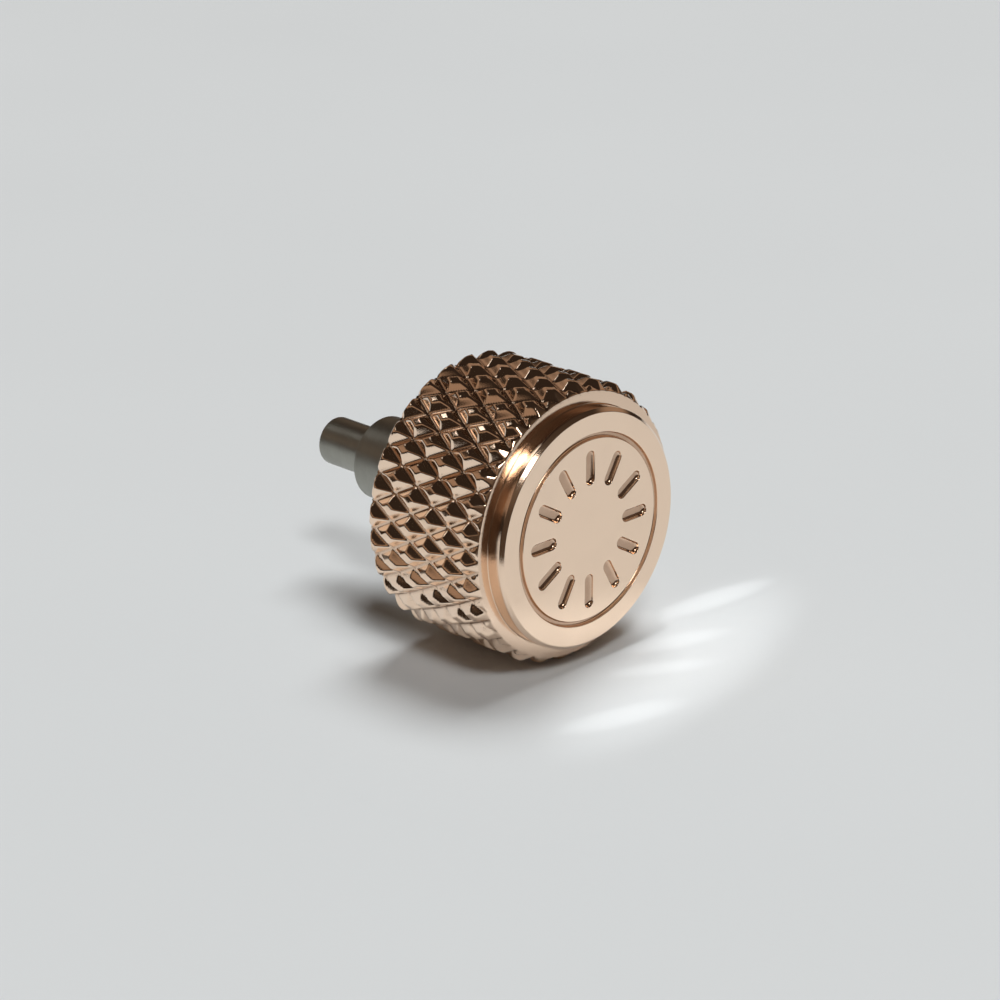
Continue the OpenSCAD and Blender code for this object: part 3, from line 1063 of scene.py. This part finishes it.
# Their streaks: name, middle and turn as seen from above, half the length and width, and power, in
# millimetres, degrees and watts
STREAKS = (
    ("pool", (5.9, 1.6), 106.0, (6.8, 2.3), 0.016),
    ("streak_1", (3.95, 5.2), 84.0, (2.4, 0.55), 0.014),
    ("streak_2", (5.0, 2.5), 71.0, (1.9, 0.5), 0.01),
    ("streak_3", (5.85, 1.1), 62.0, (1.7, 0.45), 0.009),
    ("streak_4", (7.0, -1.6), 75.0, (2.1, 0.6), 0.011),
)
# Sides of the round floor and of its middle
FLOOR_SIDES = 96
# Width of the photo's frame in pixels, and the nearest depth that the camera shows
FRAME_PX = 1000.0
NEAREST = 1 * MM


def new_lamp(name, kind, power):
    """A lamp of one kind, and its data."""
    data = bpy.data.lights.new(name, kind)
    data.energy = power
    data.color = LAMP_TINT
    lamp = bpy.data.objects.new(name, data)
    bpy.context.scene.collection.objects.link(lamp)
    return lamp, data


def hang_lamp(name, towards, size, power, in_metal):
    """A soft lamp that faces the crown, and only shows in the metal or only lights the floor."""
    lamp, data = new_lamp(name, "AREA", power)
    data.shape = "RECTANGLE"
    data.size, data.size_y = size
    direction = Vector(towards).normalized()
    lamp.location = Vector((0.0, 0.0, AXIS_Z)) + LAMP_DISTANCE * direction
    lamp.rotation_euler = (-direction).to_track_quat("-Z", "Y").to_euler()
    lamp.visible_glossy = in_metal
    lamp.visible_diffuse = not in_metal


def throw_streak(name, place, turn, half, power):
    """A long narrow spot of soft light on the floor, from straight above."""
    lamp, data = new_lamp(name, "SPOT", power)
    data.spot_size = 2 * math.atan(half[1] * MM / STREAK_HEIGHT)
    data.spot_blend = 1.0
    data.shadow_soft_size = 0.0
    lamp.location = (place[0] * MM, place[1] * MM, STREAK_HEIGHT)
    lamp.rotation_euler = (0.0, 0.0, math.radians(turn))
    lamp.scale = (half[0] / half[1], 1.0, 1.0)
    lamp.visible_glossy = False


def floor_paper(colours):
    """Pale matt floor with a faint tooth."""
    finish = Finish("pale_floor")
    tooth = finish.noise(scale=3.0)
    cloud = finish.noise(scale=0.04, detail=2.0)
    return finish.surface(
        Base_Color=finish.blend(opaque(colours.floor), opaque(colours.floor, tone=0.95), cloud),
        Roughness=0.55 + tooth * 0.1,
        Normal=finish.bump(tooth, depth=0.004),
    )


def circle(centre, radius):
    """Points around a circle on the floor."""
    swings = [math.tau * i / FLOOR_SIDES for i in range(FLOOR_SIDES)]
    return [centre + radius * Vector((math.cos(s), math.sin(s), 0.0)) for s in swings]


def dim_room(settings):
    """A dim room with a lighter band above the horizon, and a backdrop that the camera sees."""
    world = bpy.data.worlds.new("room")
    tree = NodeTree(world)
    place = tree.add("ShaderNodeTexCoord").outputs["Generated"]
    towards = tree.add("ShaderNodeSeparateXYZ", sockets={0: place}).outputs
    stops = (
        (settings.band_low - settings.band_edge, settings.sky),
        (settings.band_low, settings.band),
        (settings.band_high, settings.band),
        (settings.band_high + settings.band_edge, settings.sky),
    )
    band = tree.add("ShaderNodeValToRGB", {"stops": stops}, {0: towards["Z"]}).outputs[0]
    in_front = Field(tree, towards["X"]).stepped(low=0.0, high=1.0)
    sockets = {"Factor": in_front, "A": band, "B": settings.front_glow}
    strength = tree.add("ShaderNodeMix", sockets=sockets).outputs["Result"]
    sockets = {"Color": opaque(settings.room_tint), "Strength": strength}
    room = tree.add("ShaderNodeBackground", sockets=sockets).outputs[0]
    sockets = {"Color": opaque(settings.backdrop)}
    backdrop = tree.add("ShaderNodeBackground", sockets=sockets).outputs[0]
    seen = tree.add("ShaderNodeLightPath").outputs["Is Camera Ray"]
    shown = tree.add("ShaderNodeMixShader", sockets={0: seen, 1: room, 2: backdrop}).outputs[0]
    tree.add("ShaderNodeOutputWorld", sockets={"Surface": shown})
    return world


class CROWN_OT_stage(bpy.types.Operator):
    """Lays the pale floor and sets up the lamps, the room and the camera"""

    bl_idname = "crown.stage"
    bl_label = "Set up the stage"

    def execute(self, context):
        settings = context.scene.crown_stage
        finish = floor_paper(context.scene.crown_finishes)
        away = Vector((-math.sin(settings.azimuth), math.cos(settings.azimuth), 0.0))
        inner = circle(away * settings.paper_off, settings.paper_r)
        outer = circle(Vector((0.0, 0.0, 0.0)), settings.floor_r)
        disc = [tuple(range(FLOOR_SIDES))]
        sides = [(a, (a + 1) % FLOOR_SIDES) for a in range(FLOOR_SIDES)]
        rim = [(a, FLOOR_SIDES + a, FLOOR_SIDES + b, b) for a, b in sides]
        for name, points, faces in (("paper", inner, disc), ("floor", inner + outer, rim)):
            mesh = bpy.data.meshes.new(name)
            mesh.from_pydata(points, [], faces)
            mesh.materials.append(finish)
            sheet = bpy.data.objects.new(name, mesh)
            sheet.visible_glossy = name == "paper"
            context.scene.collection.objects.link(sheet)
        for lamp in LAMPS:
            hang_lamp(*lamp)
        for streak in STREAKS:
            throw_streak(*streak)
        context.scene.world = dim_room(settings)
        self.aim_camera(context)
        return {"FINISHED"}

    def aim_camera(self, context):
        """Camera at the viewing angle, with the face's middle at its pixel of the square frame."""
        settings = context.scene.crown_stage
        level, height = math.cos(settings.elevation), math.sin(settings.elevation)
        across, along = math.sin(settings.azimuth), -math.cos(settings.azimuth)
        back = Vector((across * level, along * level, height))
        right = Vector((0, 0, 1)).cross(back).normalized()
        up = back.cross(right)
        data = bpy.data.cameras.new("camera")
        data.lens = settings.lens
        data.clip_start = NEAREST
        px = data.sensor_width / FRAME_PX / data.lens
        aside, below = ((pixel - FRAME_PX / 2) * px for pixel in settings.face_px)
        face = Vector((FACE_X, 0.0, AXIS_Z))
        place = face + settings.distance * (back - aside * right + below * up)
        camera = bpy.data.objects.new("camera", data)
        turn = Matrix((right, up, back)).transposed().to_4x4()
        camera.matrix_world = Matrix.Translation(place) @ turn
        context.scene.collection.objects.link(camera)
        context.scene.camera = camera
        context.scene.view_settings.view_transform = "Standard"


OPERATORS = (
    CROWN_OT_head,
    CROWN_OT_sleeve,
    CROWN_OT_seals,
    CROWN_OT_tube,
    CROWN_OT_brass,
    CROWN_OT_post,
    CROWN_OT_spring,
    CROWN_OT_stage,
)


class CROWN_PT_pieces(bpy.types.Panel):
    """Lists the crown's pieces, its stage and their sizes"""

    bl_idname = "CROWN_PT_pieces"
    bl_label = "Watch crown"
    bl_space_type = "VIEW_3D"
    bl_region_type = "UI"
    bl_category = "Crown"

    def draw(self, context):
        for operator in OPERATORS:
            self.layout.operator(operator.bl_idname)
        for group in GROUPS:
            box = self.layout.box()
            settings = getattr(context.scene, group)
            for name in settings.__annotations__:
                box.prop(settings, name)


def register():
    """Registers the groups, the operators and the panel."""
    for name, group in GROUPS.items():
        bpy.utils.register_class(group)
        setattr(bpy.types.Scene, name, PointerProperty(type=group))
    for made in (*OPERATORS, CROWN_PT_pieces):
        bpy.utils.register_class(made)


def unregister():
    """Takes them away again."""
    for made in (CROWN_PT_pieces, *reversed(OPERATORS)):
        bpy.utils.unregister_class(made)
    for name, group in GROUPS.items():
        delattr(bpy.types.Scene, name)
        bpy.utils.unregister_class(group)


def main():
    """Builds every piece and the stage."""
    register()
    for operator in OPERATORS:
        getattr(bpy.ops.crown, operator.bl_idname.split(".")[1])()


if __name__ == "__main__":
    main()
